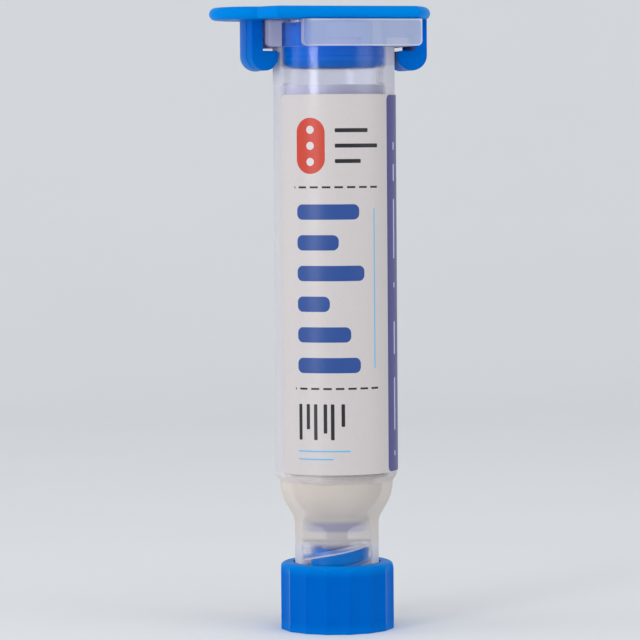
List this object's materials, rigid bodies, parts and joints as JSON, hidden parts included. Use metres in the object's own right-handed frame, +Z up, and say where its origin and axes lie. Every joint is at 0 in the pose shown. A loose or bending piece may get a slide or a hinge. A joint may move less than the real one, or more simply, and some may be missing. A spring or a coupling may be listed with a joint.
{
  "type": "flux syringe",
  "caption": "Translucent luer-lock dispensing syringe of flux paste with a wiper piston, a blue push-on end cap with hooks and thumb tab, a blue fluted tip cap and a wrap-round label.",
  "frame": {"origin": "on the barrel's axis, at the flat bottom of the tip cap that the syringe stands on", "axes": "+Z up along the barrel's axis towards the end cap, -X towards the end cap's thumb tab, -Y towards the label's print"},
  "size_m": [0.0338, 0.0204, 0.0944],
  "materials": {
    "translucent_pp": "natural translucent polypropylene, smooth moulded",
    "blue_pp": "blue polypropylene, satin moulded",
    "piston_pe": "natural polyethylene, smooth moulded",
    "flux_paste": "pale amber paste",
    "label_film": null
  },
  "bodies": {
    "barrel": {"barrel": "translucent_pp", "label": "label_film", "flux": "flux_paste"},
    "end_cap": {"end_cap": "blue_pp"},
    "tip_cap": {"tip_cap": "blue_pp"},
    "piston": {"piston": "piston_pe"}
  },
  "joints": [
    {"name": "end_cap_turn", "type": "hinge", "parent": "barrel", "child": "end_cap", "pos_m": [0, 0, 0.092], "axis": [0, 0, 1], "range_deg": [0, 90]},
    {"name": "tip_cap_off", "type": "slide", "parent": "barrel", "child": "tip_cap", "axis": [0, 0, -1], "range_m": [0, 0.009]},
    {"name": "piston_travel", "type": "slide", "parent": "barrel", "child": "piston", "axis": [0, 0, -1], "range_m": [0, 0.0505], "deforming": ["flux"]}
  ]
}
